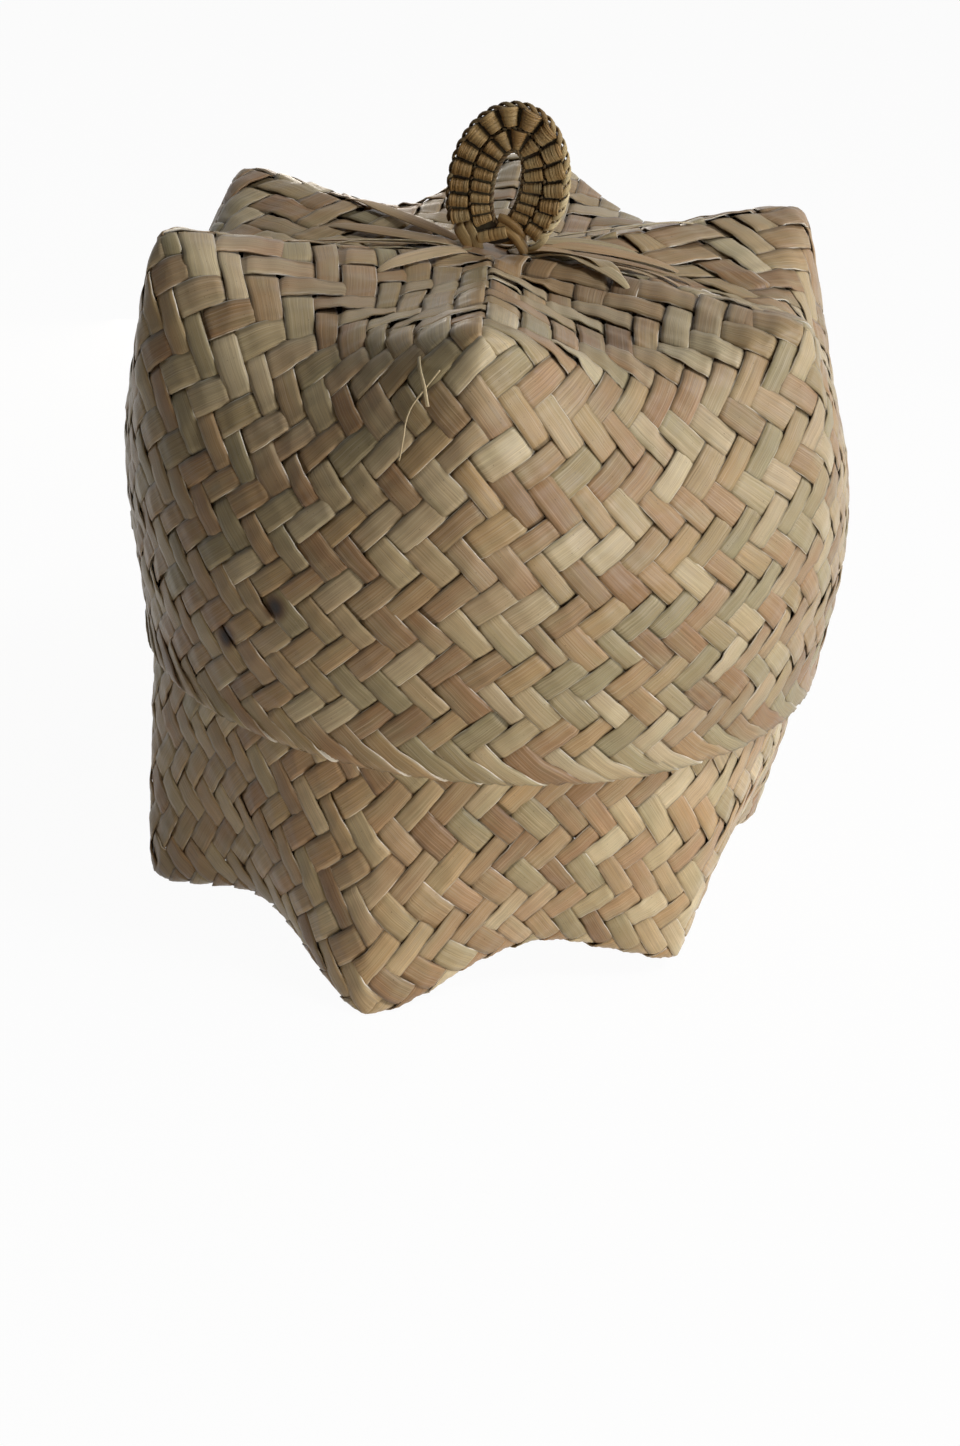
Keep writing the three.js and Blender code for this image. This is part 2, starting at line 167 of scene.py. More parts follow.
STAR_POINTS = 6
STAR_RANKS = 11               # strips that cross each ridge of the star
SEGMENTS = 8                  # mesh steps from one crossing to the next
ACROSS = np.array([-1.0, -0.6, 0.0, 0.6, 1.0])
UNDER_SIDE = [4, 0]           # places in ACROSS that the strip's lower face uses
STRIP_CUT_SIDES = (4, 6)      # sides of a strip's section that are its cut edges
STRIP_REACH = 2.9             # half a strip's width in mm, for the leaf's veins
STRIP_THICKNESS = 0.36        # mm
STRIP_GAP = 0.005             # between two neighbours, of a strip's width
STAR_GAP = 0.09               # how much more on the star, which is plaited more loosely
PINCH = 0.06                  # share of its width that a strip loses where it dives under others
SEAM_WANDER = np.array([0.11, 0.06, 0.04])   # steady, slow and fast, of a strip's width
CROWN = (0.04, 0.22)          # mm that a strip stands up along its middle
WALL_MIDDLE = 1.0             # mm under the CAD shell's outer face
FOLD_EASE = 0.45              # how far the fold between star and wall is rounded, in levels
RIDGE_BEND = 0.6              # the same where a strip bends over a ridge
RISE = 0.38                   # mm that an upper strip stands over the middle of the wall, a lower one under
STAR_RISE = 1.2               # how much of that on the star
UNEVEN_RISE = 0.05            # mm by which crossings differ
# Of each pair, the first is for the star and the second for the wall
LIFTED_SHARE = (0.3, 0.14)    # share of the crossings where an edge has lifted
LIFTED_EDGE = (0.5, 0.38)     # mm that it stands off
STRIP_ROLL = (0.14, 0.08)     # mm that a strip's edges differ in height elsewhere
FLOAT_ARCH = (0.38, 0.26)     # mm that a strip bulges between two crossings
KNOB_ROLL = 0.25              # the most that a strip leans near the knob, in mm
KNOB_ARCH = (0.2, 0.6)        # mm that it bulges there
# The folded rim, in levels where nothing else is said
RIM_SWEEP = 0.65              # degrees that a flap sweeps along the rim, growing with the square of the way
SWEEP_START = 1.5             # where that begins, before the rim
FLAP_SPREAD = 0.5             # how much wider a flap gets
FLAP_TILT = 0.28              # mm that its leading edge lies deeper
RIM_LIFT = 0.15               # mm that the rim stands off
SHORT_FOLD = 0.5              # how much earlier the covered strips fold in
FOLD_ROUND = 0.08             # how far the fold is rounded
INNER_FOLD = 1.85             # mm under the outer face, for the ends that are folded in
TUCK = 3.0                    # how far a folded end runs up inside

base_form = {
    "ridge": -90.0, "corner": 86.0, "valley": 73.0, "valley_depth": 13.3, "centre_depth": 11.4,
    "rim": 86.6, "height": 144.5, "belly": 2.8, "skew": 2, "fill": 2.8, "shift": 0.0,
    "rows": 38, "levels": 38.8, "zero": -0.9, "down": 1.0, "hole": 0.15, "loose": 0, "ease": 0.0,
}
# How far the hand-made plait strays from a regular one: the ridge counted from the first, the level, which
# is 11 at the star's edge, then mm outwards, to the left round the axis and up
STRAY_REACH = 34              # mm over which a stray fades out
base_strays = [
    (0, 11, 5.5, 0.8, -1.0), (1, 11, -1.4, 0.0, 3.6), (1.3, 11, -3.6, 0.0, 0.0), (1.7, 18, 2.6, 0.0, 0.0),
    (2, 11, 3.4, 0.0, 6.0), (3, 11, 1.5, 0.0, -0.5), (4, 11, 1.5, 0.0, -0.5), (5, 11, 3.2, 3.5, -0.6),
    (5.5, 11, 1.0, 0.0, -2.4),
]


def outer_face(form, level, angle):
    """The shell's outer face, in mm, at a level counted from the star's centre and an angle in degrees."""
    level = np.sqrt(level ** 2 + form["hole"] ** 2)
    from_ridge = np.abs((angle - form["ridge"] + 30) % 60 - 30)
    valley = np.sin(np.radians(3 * from_ridge)) ** 1.25
    star = np.clip(level / STAR_RANKS, 0, 1)
    wall = np.clip((level - STAR_RANKS) / (form["levels"] - STAR_RANKS), 0, 1.1)
    above = np.clip(1 - wall, 0, 1)
    skew = form["skew"]
    belly = form["belly"] * wall * above ** skew / (skew ** skew / (skew + 1) ** (skew + 1))
    ridge_radius = form["corner"] * star + (form["rim"] - form["corner"]) * wall + belly
    filled = 1 - above ** form["fill"]
    valley_radius = form["valley"] * star + (form["rim"] - form["valley"]) * filled + belly
    ridge_depth = form["centre_depth"] * (1 - star) + form["height"] * wall
    valley_depth = (form["centre_depth"] + (form["valley_depth"] - form["centre_depth"]) * star
                    + (form["height"] - form["valley_depth"]) * wall)
    radius = ridge_radius + (valley_radius - ridge_radius) * valley
    depth = ridge_depth + (valley_depth - ridge_depth) * valley
    turn = np.radians(angle)
    height = form["zero"] + form["down"] * depth
    shift = form["shift"] * (1 - star)
    return np.stack([radius * np.cos(turn) + shift, radius * np.sin(turn), height], axis=-1)


def rounded_face(form, level, angle):
    """The outer face with the fold between star and wall rounded, as leaf strips bend over it."""
    valley = np.sin(np.radians(3 * (angle - form["ridge"]))) ** 2
    spread = (FOLD_EASE + form["ease"] * valley) * np.exp(-((level - STAR_RANKS) / 2.6) ** 2)
    total = 0
    for step, weight in zip((-2, -1, 0, 1, 2), (1, 4, 6, 4, 1)):
        total = total + weight / 16 * outer_face(form, level + step * spread, angle)
    return total


def face_normal(form, level, angle):
    """Unit normals out of the shell."""
    along = rounded_face(form, level + 0.35, angle) - rounded_face(form, np.maximum(level - 0.35, 0), angle)
    around = rounded_face(form, level, angle + 1.2) - rounded_face(form, level, angle - 1.2)
    normal = np.cross(around, along) * form["down"]
    return normal / np.linalg.norm(normal, axis=-1, keepdims=True)


def smooth(value):
    """An eased step from 0 to 1."""
    value = np.clip(value, 0, 1)
    return value * value * (3 - 2 * value)


def left_is_over(form, level):
    """Whether the strips that lean left lie on top at a level: two rows over, two under, and never at the
    rim. Round the lid's knob the rows are counted from the centre."""
    level = np.round(level).astype(int)
    twill = (level - STAR_RANKS - 1) % 4 < 2
    near_knob = level <= form["loose"]
    return np.where(near_knob, level <= form["loose"] // 2, twill) & (level < form["rows"])


def joint(along, seam):
    """How far the seam between two neighbouring strips wanders, as a share of a strip's width."""
    shift, slow, fast = seam
    return shift[0] + shift[1] * np.sin(along * 0.37 + slow) + shift[2] * np.sin(along * 0.9 + fast)


def strip(form, ridge, rank, seams, draw):
    """One leaf strip that crosses a ridge of the star and runs down both sides to the rim."""
    levels = form["levels"]
    reach = levels + TUCK - rank
    along = np.linspace(-reach, reach, int(2 * reach * SEGMENTS) + 1)
    run = np.abs(along)
    leans_right = along >= 0

    # Heights of the crossings, which stand half a step from the ridge and one step apart
    first = -int(reach) - 2
    crossing = np.arange(first, -first + 1)
    crossing_level = rank + 0.5 + np.where(crossing < 0, -crossing - 1, crossing)
    over = left_is_over(form, crossing_level) == (crossing < 0)
    in_star = crossing_level < STAR_RANKS
    rise = RISE * np.where(in_star, STAR_RISE, 1)
    height = np.where(over, rise, -rise) + draw.normal(0, UNEVEN_RISE, len(crossing))
    lifts = draw.random(len(crossing)) < np.where(in_star, *LIFTED_SHARE)
    side = np.sign(draw.normal(size=len(crossing)))
    lifted_edge = np.where(lifts, np.where(in_star, *LIFTED_EDGE) * side, 0)
    roll = draw.normal(0, np.where(in_star, *STRIP_ROLL), len(crossing)) + np.where(over, lifted_edge, 0)
    near_knob = crossing_level < form["loose"]
    roll = roll + np.where(near_knob & over, draw.uniform(0.0, KNOB_ROLL), 0)
    place = along - 0.5 - first
    before = np.floor(place).astype(int)
    part = place - before
    ease = smooth((part - 0.35) / 0.3)
    lift = height[before] * (1 - ease) + height[before + 1] * ease
    is_float = over[before] & over[before + 1]
    turns = np.flatnonzero(np.diff(over)) + 1
    first_over = np.concatenate([[0], turns])
    last_over = np.concatenate([turns - 1, [len(over) - 1]])
    span = np.searchsorted(last_over, before)
    share = (place - first_over[span]) / np.maximum(last_over[span] - first_over[span], 1)
    arch = np.where(rank + run < STAR_RANKS, *FLOAT_ARCH)
    arch = np.where(rank + run < form["loose"], draw.uniform(*KNOB_ARCH), arch)
    lift = lift + np.where(is_float, arch * np.sin(np.pi * np.clip(share, 0, 1)), 0)
    twist = roll[before] * (1 - ease) + roll[before + 1] * ease

    # The strip's run over the shell, eased where it bends over the ridge
    phase = draw.uniform(0, 2 * np.pi, 2)
    lower_seam, upper_seam = (joint(along, seam) for seam in seams)
    middle = rank + (lower_seam + upper_seam) / 2
    gap = STRIP_GAP + STAR_GAP * smooth((STAR_RANKS - rank - run) / 2)
    width = (1 + upper_seam - lower_seam - gap) / 2
    spread = smooth((rank + run - form["rows"] + 0.6) / 1.2) * leans_right
    dip = np.clip((RISE - lift) / (2 * RISE), 0, 1)
    width = width * (1 + FLAP_SPREAD * spread) * (1 - PINCH * dip)
    bend = (np.sqrt(run ** 2 + RIDGE_BEND ** 2) - run) / 2
    offset = (middle + bend)[:, None] + width[:, None] * ACROSS
    level = offset + run[:, None]
    on_star = 60 * run[:, None] / np.maximum(level, 1e-6)
    on_wall = 30 * (1 + (run[:, None] - offset) / STAR_RANKS)
    swing = np.where(level <= STAR_RANKS, on_star, on_wall)

    # The fold over the rim: right-leaning strips sweep along it and cover the others' ends
    fold = np.where(leans_right, levels, levels - SHORT_FOLD)[:, None]
    past = level - fold
    inside = smooth((past + 0.25) / 0.5)
    sweep = np.clip(np.minimum(level, fold) - (levels - SWEEP_START), 0, None)
    swing = swing + np.where(leans_right[:, None], RIM_SWEEP * sweep ** 2, 0)
    flat_level = fold - np.sqrt(past ** 2 + FOLD_ROUND ** 2) + FOLD_ROUND
    angle = form["ridge"] + 60 * ridge + np.where(leans_right[:, None], swing, -swing)
    near_rim = smooth((level - levels + 1.9) / 1.4)
    flap = np.where(leans_right[:, None], -FLAP_TILT * ACROSS, 0) * near_rim
    crown = draw.uniform(*CROWN) * (1 - ACROSS ** 2)
    outer_depth = WALL_MIDDLE - RIM_LIFT * near_rim - lift[:, None] - twist[:, None] * ACROSS - crown - flap
    depth = outer_depth * (1 - inside) + INNER_FOLD * inside
    points = rounded_face(form, flat_level, angle) - face_normal(form, flat_level, angle) * depth[..., None]
    normal = np.cross(np.gradient(points, axis=0), np.gradient(points, axis=1)) * form["down"]
    normal /= np.maximum(np.linalg.norm(normal, axis=-1, keepdims=True), 1e-9)
    half = STRIP_THICKNESS / 2 * (1 - 0.3 * ACROSS ** 4)[:, None]
    upper = points + normal * half
    lower = (points - normal * half)[:, UNDER_SIDE]
    rings = np.concatenate([upper, lower], axis=1)

    # What the leaf's material reads: mm across and along, the strip's tint, its edges, and how deep it dips,
    # where the material paints shade
    middle = points[:, 2]
    travelled = np.concatenate([[0], np.cumsum(np.linalg.norm(np.diff(middle, axis=0), axis=1))])
    start = draw.uniform(0, 9000)
    edges = np.concatenate([ACROSS, ACROSS[UNDER_SIDE]])
    uv = np.stack(np.broadcast_arrays(edges * STRIP_REACH, travelled[:, None] + start), axis=-1)
    tint = draw.random() + 0.1 * np.sin(along / 6 + phase[0]) + 0.05 * np.sin(along / 2.3 + phase[1])
    shape = rings.shape[:2]
    return {
        "rings": rings,
        "uv": uv,
        "tint": np.broadcast_to(tint[:, None], shape),
        "edge": np.broadcast_to(np.abs(edges), shape),
        "dip": np.broadcast_to(dip[:, None], shape),
    }


def ring_faces(count, sides, start):
    """Quads between successive rings of a closed section, and the two ends."""
    ring = np.arange(count - 1)[:, None] * sides + start
    near = ring + np.arange(sides)
    far = ring + (np.arange(sides) + 1) % sides
    quads = np.stack([near, far, far + sides, near + sides], axis=-1).reshape(-1, 4)
    first_end = [start + side for side in reversed(range(sides))]
    last_end = [start + (count - 1) * sides + side for side in range(sides)]
    return quads.tolist() + [first_end, last_end]


def leaf_object(name, parts, flipped=False, cut_sides=()):
    """One mesh of closed leaf strips with their UV map and the attributes that the material reads."""
    faces, crisp, start = [], [], 0
    for part in parts:
        count, sides = part["rings"].shape[:2]
        made = ring_faces(count, sides, start)
        faces += [face[::-1] for face in made] if flipped else made
        crisp += [side in cut_sides for side in range(sides)] * (count - 1) + [True, True]
        start += count * sides
    points = np.concatenate([part["rings"].reshape(-1, 3) for part in parts]) * MM
    mesh = bpy.data.meshes.new(name)
    mesh.from_pydata(points.tolist(), [], faces)
    corners = np.empty(len(mesh.loops), dtype=np.int32)
    mesh.loops.foreach_get("vertex_index", corners)
    uv = np.concatenate([part["uv"].reshape(-1, 2) for part in parts])
    mesh.uv_layers.new(name="leaf_mm").data.foreach_set("uv", uv[corners].ravel())
    for key in ("tint", "edge", "dip"):
        values = np.concatenate([np.asarray(part[key]).ravel() for part in parts])
        mesh.attributes.new(key, "FLOAT", "POINT").data.foreach_set("value", values)
    mesh.shade_smooth()
    mesh.polygons.foreach_set("use_smooth", np.invert(crisp))
    made = bpy.data.objects.new(name, mesh)
    scene.collection.objects.link(made)
    return made


def stray(points, form, strays):
    """Moves points near the places in a table of strays as far as the plait strays there."""
    moved = points.copy()
    for place, level, outwards, leftwards, upwards in strays:
        turn = math.radians(form["ridge"] + 60 * place)
        out = np.array([math.cos(turn), math.sin(turn), 0])
        left = np.array([-math.sin(turn), math.cos(turn), 0])
        centre = outer_face(form, np.array(float(level)), math.degrees(turn))
        nearness = np.exp(-np.sum(((points - centre) / STRAY_REACH) ** 2, axis=-1))
        moved += nearness[..., None] * (out * outwards + left * leftwards + np.array([0, 0, upwards]))
    return moved


# Dried pandan leaf, split and scraped: a dry satin surface, straw, tan, olive or reddish brown from strip
# to strip, with fine lengthways veins, darker streaks and specks, and pale fibre along the cut edges
def dried_leaf(name, tints, vein_depth, pale, groove_shade, roughness, scorches=()):
    material = bpy.data.materials.new(name)
    material.use_nodes = True
    tree = material.node_tree
    tree.nodes.clear()
    place = add_node(tree, "UVMap", uv_map="leaf_mm").outputs[0]
    tint = add_node(tree, "Attribute", attribute_name="tint").outputs["Fac"]
    edge = add_node(tree, "Attribute", attribute_name="edge").outputs["Fac"]
    dip = add_node(tree, "Attribute", attribute_name="dip").outputs["Fac"]

    def grain(across, along, detail):
        """Noise drawn out along the leaf, its scales in features per mm."""
        scaled = add_node(tree, "VectorMath", {0: place, 1: (across, along, 1)}, operation="MULTIPLY")
        return add_node(tree, "TexNoise", {"Vector": scaled.outputs[0], "Scale": 1, "Detail": detail,
                                           "Roughness": 0.6}).outputs["Fac"]

    veins = grain(4.6, 0.03, 3)        # about 0.2 mm apart, which is as fine as shows
    fibres = grain(7.5, 0.08, 2)       # finer ones between the veins
    specks = grain(2.6, 1.7, 0)        # dark, about half a millimetre
    patches = grain(0.18, 0.05, 2)     # olive, as wide as a strip and about 20 mm long
    streaks = grain(1.3, 0.012, 2)     # dark, under 1 mm wide and some 80 mm long
    threads = grain(3.2, 0.02, 3)      # pale, about 0.3 mm wide
    frayed = grain(0.25, 0.09, 2)      # stretches of about 10 mm where the cut edge has frayed

    ramp = add_node(tree, "ValToRGB", {"Fac": tint})
    points = ramp.color_ramp.elements
    while len(points) < len(tints):
        points.new(0.5)
    for number, code in enumerate(tints):
        points[number].position = number / (len(tints) - 1)
        points[number].color = srgb(code)
    patch = add_node(tree, "MapRange", {"Value": patches, "From Min": 0.45, "From Max": 0.75,
                                        "To Max": 0.45})
    patched = add_node(tree, "Mix", {"Factor": patch.outputs[0], "A": ramp.outputs[0],
                                     "B": srgb("#948a66")}, data_type="RGBA")
    thread = add_node(tree, "MapRange", {"Value": threads, "From Min": 0.46, "From Max": 0.74,
                                         "To Max": 0.14})
    threaded = add_node(tree, "Mix", {"Factor": thread.outputs[0], "A": patched.outputs["Result"],
                                      "B": srgb(pale)}, data_type="RGBA")
    vein = add_node(tree, "MapRange", {"Value": veins, "From Min": 0.3, "From Max": 0.7,
                                       "To Min": 1 - vein_depth, "To Max": 1 + vein_depth})
    fibre = add_node(tree, "MapRange", {"Value": fibres, "From Min": 0.3, "From Max": 0.7,
                                        "To Min": 0.86, "To Max": 1.14})
    speck = add_node(tree, "MapRange", {"Value": specks, "From Min": 0.77, "From Max": 0.84,
                                        "To Min": 1, "To Max": 0.65})
    streak = add_node(tree, "MapRange", {"Value": streaks, "From Min": 0.68, "From Max": 0.8,
                                         "To Min": 1, "To Max": 0.62})
    # Painted shade: the leaf is darkened where a strip dips under its neighbours, and on a roll's sides
    # where it meets the next roll
    painted_dip_shade = add_node(tree, "MapRange", {"Value": dip, "From Min": 0.36, "From Max": 0.6,
                                        "To Min": 1, "To Max": groove_shade})
    shade = vein.outputs[0]
    for factor in (fibre, speck, streak, painted_dip_shade):
        shade = add_node(tree, "Math", {0: shade, 1: factor.outputs[0]}, operation="MULTIPLY").outputs[0]
    veined = add_node(tree, "HueSaturation", {"Value": shade, "Color": threaded.outputs["Result"]})

    # The cut edges: pale fibre where they have frayed, and elsewhere a thin dark line of painted shade from
    # the gap beside them
    rim = add_node(tree, "MapRange", {"Value": edge, "From Min": 0.92, "From Max": 1})
    ragged = add_node(tree, "MapRange", {"Value": frayed, "From Min": 0.46, "From Max": 0.62})
    paleness = add_node(tree, "Math", {0: rim.outputs[0], 1: ragged.outputs[0]}, operation="MULTIPLY")
    pale_share = add_node(tree, "Math", {0: paleness.outputs[0], 1: 0.8}, operation="MULTIPLY")
    whole = add_node(tree, "Math", {0: 1, 1: ragged.outputs[0]}, operation="SUBTRACT")
    gap_shade_line = add_node(tree, "Math", {0: rim.outputs[0], 1: whole.outputs[0]}, operation="MULTIPLY")
    gap_shade_share = add_node(tree, "Math", {0: gap_shade_line.outputs[0], 1: 0.4}, operation="MULTIPLY")
    edged = add_node(tree, "Mix", {"Factor": gap_shade_share.outputs[0], "A": veined.outputs[0],
                                   "B": srgb("#2f2316")}, data_type="RGBA")
    colour = add_node(tree, "Mix", {"Factor": pale_share.outputs[0], "A": edged.outputs["Result"],
                                    "B": srgb(pale)}, data_type="RGBA")

    # Scorch marks: a brown ring and a black middle, with their reach in mm
    for scorch in scorches:
        spot = add_node(tree, "TexCoord").outputs["Object"]
        distance = add_node(tree, "VectorMath", {0: spot, 1: Vector(scorch) * MM}, operation="DISTANCE")
        for reach, burn in ((4.6, "#5b3a1f"), (3.2, "#232120")):
            burnt = add_node(tree, "MapRange", {"Value": distance.outputs["Value"], "From Min": reach * MM,
                                                "From Max": reach * 0.45 * MM, "To Max": 0.9})
            colour = add_node(tree, "Mix", {"Factor": burnt.outputs[0], "A": colour.outputs["Result"],
                                            "B": srgb(burn)}, data_type="RGBA")

    # The veins stand up a little and are drier than the leaf between them
    rough = add_node(tree, "MapRange", {"Value": veins, "From Min": 0.3, "From Max": 0.7,
                                        "To Min": roughness[0], "To Max": roughness[1]})
    relief = add_node(tree, "Math", {0: veins, 1: fibres}, operation="ADD")
    bump = add_node(tree, "Bump", {"Height": relief.outputs[0], "Strength": 0.8, "Distance": 0.06 * MM})
    leaf = add_node(tree, "BsdfPrincipled", {"Base Color": colour.outputs["Result"],
                                             "Roughness": rough.outputs[0], "Normal": bump.outputs[0],
                                             "IOR": 1.26, "Sheen Weight": 0.05, "Sheen Roughness": 0.45,
                                             "Sheen Tint": srgb("#f2e8d6")})
    add_node(tree, "OutputMaterial", {"Surface": leaf.outputs[0]})
    return material


# The base's leaf is painted a little paler than the lid's, as painted light for the brighter light that
# falls on the base
PALER_PAINTED_LIGHT_TINTS = ("#8b6a47", "#a5865e", "#bca277", "#98855f", "#ae8d61", "#a17d57", "#c4ae85", "#94704a")
pandan = dried_leaf("dried_pandan_leaf", PALER_PAINTED_LIGHT_TINTS, 0.19, "#e4d9c2", 0.5, (0.26, 0.46))

FLOOR_ROOM = 0.02             # mm that the feet keep off the table


def plait(name, form, strays, seed, material, body, node):
    """The eleven strips of each ridge as one piece."""
    for ridge in range(STAR_POINTS):
        draw = np.random.default_rng(seed + ridge)
        seams = []
        for seam in range(STAR_RANKS + 1):
            wander = draw.uniform(-1, 1, 3) * SEAM_WANDER * (0 < seam < STAR_RANKS)
            seams.append((wander, *draw.uniform(0, 2 * np.pi, 2)))
        parts = []
        for place in range(STAR_RANKS):
            parts.append(strip(form, ridge, place + 0.5, seams[place:place + 2], draw))
        for part in parts:
            part["rings"] = stray(part["rings"], form, strays)
            part["rings"][..., 2] = np.maximum(part["rings"][..., 2], FLOOR_ROOM)
        piece = leaf_object(f"{name}_{ridge + 1}", parts, form["down"] < 0, STRIP_CUT_SIDES)
        piece.data.materials.append(material)
        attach(piece, body)
        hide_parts(node)


plait("base_strips", base_form, base_strays, 100, pandan, "base", "base_shell")

# The lid: the same plait of pandan strips upside down and a little wider, its rim folded in over a row of
# flaps that sweep along the edge. Near the knob the strips lie more loosely. It is only slipped over the
# base.

lid_corner_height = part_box("lid_shell")[1].z / MM
lid_form = {
    "ridge": -79.0, "corner": 88.0, "valley": 74.0, "valley_depth": 11.3, "centre_depth": 5.1,
    "rim": 91.5, "height": 110.0, "belly": 7.0, "skew": 1.5, "fill": 2.4, "shift": -4.5,
    "rows": 35, "levels": 35.8, "zero": lid_corner_height, "down": -1.0, "hole": 0.25, "loose": 4,
    "ease": 0.6,
}
lid_strays = [
    (0, 11, 1.5, 0.0, 1.0), (1, 11, -3.0, 0.0, -3.6), (1.54, 18, -1.5, 0.0, 0.0), (1.54, 34, 1.0, 0.0, 0.0),
    (2, 11, -0.5, 0.0, 3.2), (2.5, 11, 0.0, 0.0, 1.6), (3, 11, 1.5, 0.5, 2.2), (4, 11, 0.5, 0.0, 0.2),
    (4.54, 18, 2.4, 0.0, 0.0), (4.54, 34, -1.4, 0.0, 0.0), (5, 11, 4.3, 0.0, 4.6),
]
# The lid's leaf keeps the darker tints and has two scorch marks on its left side, given in mm
SCORCHES = ((-27.5, -92.0, 107.7), (-42.1, -85.2, 94.6))
LID_LEAF_TINTS = ("#7e6040", "#967a55", "#aa936c", "#897956", "#9e8057", "#92714e", "#b29e79", "#876643")
scorched_pandan = dried_leaf("scorched_pandan_leaf", LID_LEAF_TINTS, 0.19, "#e4d9c2", 0.5, (0.26, 0.46),
                             SCORCHES)
plait("lid_strips", lid_form, lid_strays, 200, scorched_pandan, "lid", "lid_shell")

# The knob's rolls: narrow strips of darker golden-brown leaf, each wound tight into a short roll, whose
# wound edges show as fine rings. Two rings of sixteen stand round the eye on a flat core of the same leaf.

KNOB_LEAN = math.radians(9)
EYE_HALF_WIDTH, EDGE_HALF_WIDTH = 3.7, 14.8
KNOB_MIDDLE = 17.0                     # height of the loop's widest place over the lid, in mm
EYE_ABOVE, EDGE_ABOVE = 8.3, 19.6      # reach above that place
EYE_BELOW, EDGE_BELOW_LEFT, EDGE_BELOW_RIGHT = 10.4, 24.5, 16.3
OUTER_ENDS, INNER_ENDS = (214, -39), (232, -38)   # degrees at the loop's two lower ends
lid_centre_height = lid_corner_height - lid_form["centre_depth"]
knob_foot = np.array([lid_form["shift"], 0, lid_centre_height])
knob_turn = Matrix.Rotation(KNOB_LEAN, 3, "Y")
knob_place = Matrix.Translation(Vector(knob_foot) * MM) @ knob_turn.to_4x4()


def loop_point(line, angle):
    """A point of the knob's plane in mm; line 0 is the eye's edge, 1 the loop's outer edge."""
    half_width = EYE_HALF_WIDTH + (EDGE_HALF_WIDTH - EYE_HALF_WIDTH) * line
    above = EYE_ABOVE + (EDGE_ABOVE - EYE_ABOVE) * line
    edge_below = EDGE_BELOW_RIGHT + (EDGE_BELOW_LEFT - EDGE_BELOW_RIGHT) * (1 - np.cos(angle)) / 2
    below = EYE_BELOW + (edge_below - EYE_BELOW) * line
    across = half_width * np.cos(angle)
    height = KNOB_MIDDLE + np.where(np.sin(angle) < 0, below, above) * np.sin(angle)
    return np.stack([across, np.zeros_like(across), height], axis=-1)


def ring_angles(line, ends, count, crowding=0.0):
    """Angles of stations clockwise round a line, evenly spaced or crowded towards the line's ends."""
    angles = np.radians(np.linspace(*ends, 1441))
    steps = np.linalg.norm(np.diff(loop_point(line, angles), axis=0), axis=1)
    travelled = np.concatenate([[0], np.cumsum(steps)])
    even = np.linspace(0, 1, count)
    places = even - crowding * np.sin(2 * np.pi * even) / (2 * np.pi)
    return np.interp(places * travelled[-1], travelled, angles)


def outward(line, angles):
    """Unit vectors square to a line of the loop, away from the eye."""
    along = loop_point(line, angles - 0.01) - loop_point(line, angles + 0.01)
    square = np.stack([-along[:, 2], along[:, 1], along[:, 0]], axis=-1)
    return square / np.linalg.norm(square, axis=-1, keepdims=True)


ROLL_SIDES = 24


def wound_roll(bands):
    """A roll of radius 1 and length 1 on the Z axis: a disc extruded band by band, with grooves between."""
    bpy.ops.mesh.primitive_circle_add(vertices=ROLL_SIDES, radius=0.8, fill_type="NGON")
    roll = bpy.context.object
    bpy.ops.object.mode_set(mode="EDIT")
    bpy.ops.mesh.select_all(action="SELECT")
    bpy.ops.mesh.extrude_region_move(TRANSFORM_OT_translate={"value": (0, 0, 0.03)})
    bpy.ops.transform.resize(value=(1.2, 1.2, 1))
    for length, swell, groove, shift in bands:
        bpy.ops.mesh.extrude_region_move(TRANSFORM_OT_translate={"value": (shift, -shift, length * 0.15)})
        bpy.ops.transform.resize(value=(swell, swell, 1))
        bpy.ops.mesh.extrude_region_move(TRANSFORM_OT_translate={"value": (0, 0, length * 0.7)})
        bpy.ops.mesh.extrude_region_move(TRANSFORM_OT_translate={"value": (-shift, shift, length * 0.12)})
        bpy.ops.transform.resize(value=(groove / swell, groove / swell, 1))
        bpy.ops.mesh.extrude_region_move(TRANSFORM_OT_translate={"value": (0, 0, length * 0.03)})
        bpy.ops.transform.resize(value=(1 / groove, 1 / groove, 1))
    bpy.ops.mesh.extrude_region_move(TRANSFORM_OT_translate={"value": (0, 0, 0.03)})
    bpy.ops.transform.resize(value=(0.84, 0.84, 1))
    bpy.ops.mesh.select_all(action="SELECT")
    bpy.ops.mesh.normals_make_consistent(inside=False)
    bpy.ops.object.mode_set(mode="OBJECT")
    return roll


# Rolled leaf: golden brown with a satin sheen, pale only where a wound edge catches the light
ROLL_TINTS = ("#7c5d33", "#8e6d41", "#9c7c4d", "#8b7048")
rolled_leaf = dried_leaf("rolled_golden_leaf", ROLL_TINTS, 0.24, "#a98d5e", 0.2, (0.32, 0.48))
ROLL_MODELS = 6
draw = np.random.default_rng(7)
roll_models = []
for model in range(ROLL_MODELS):
    shares = draw.uniform(0.4, 1.6, 6 + model % 3)
    shares = shares / shares.sum() * 0.94
    bands = []
    for share in shares:
        bands.append((share, draw.uniform(1.0, 1.05), draw.uniform(0.93, 0.99), draw.uniform(-0.02, 0.02)))
    roll_models.append(wound_roll(bands))


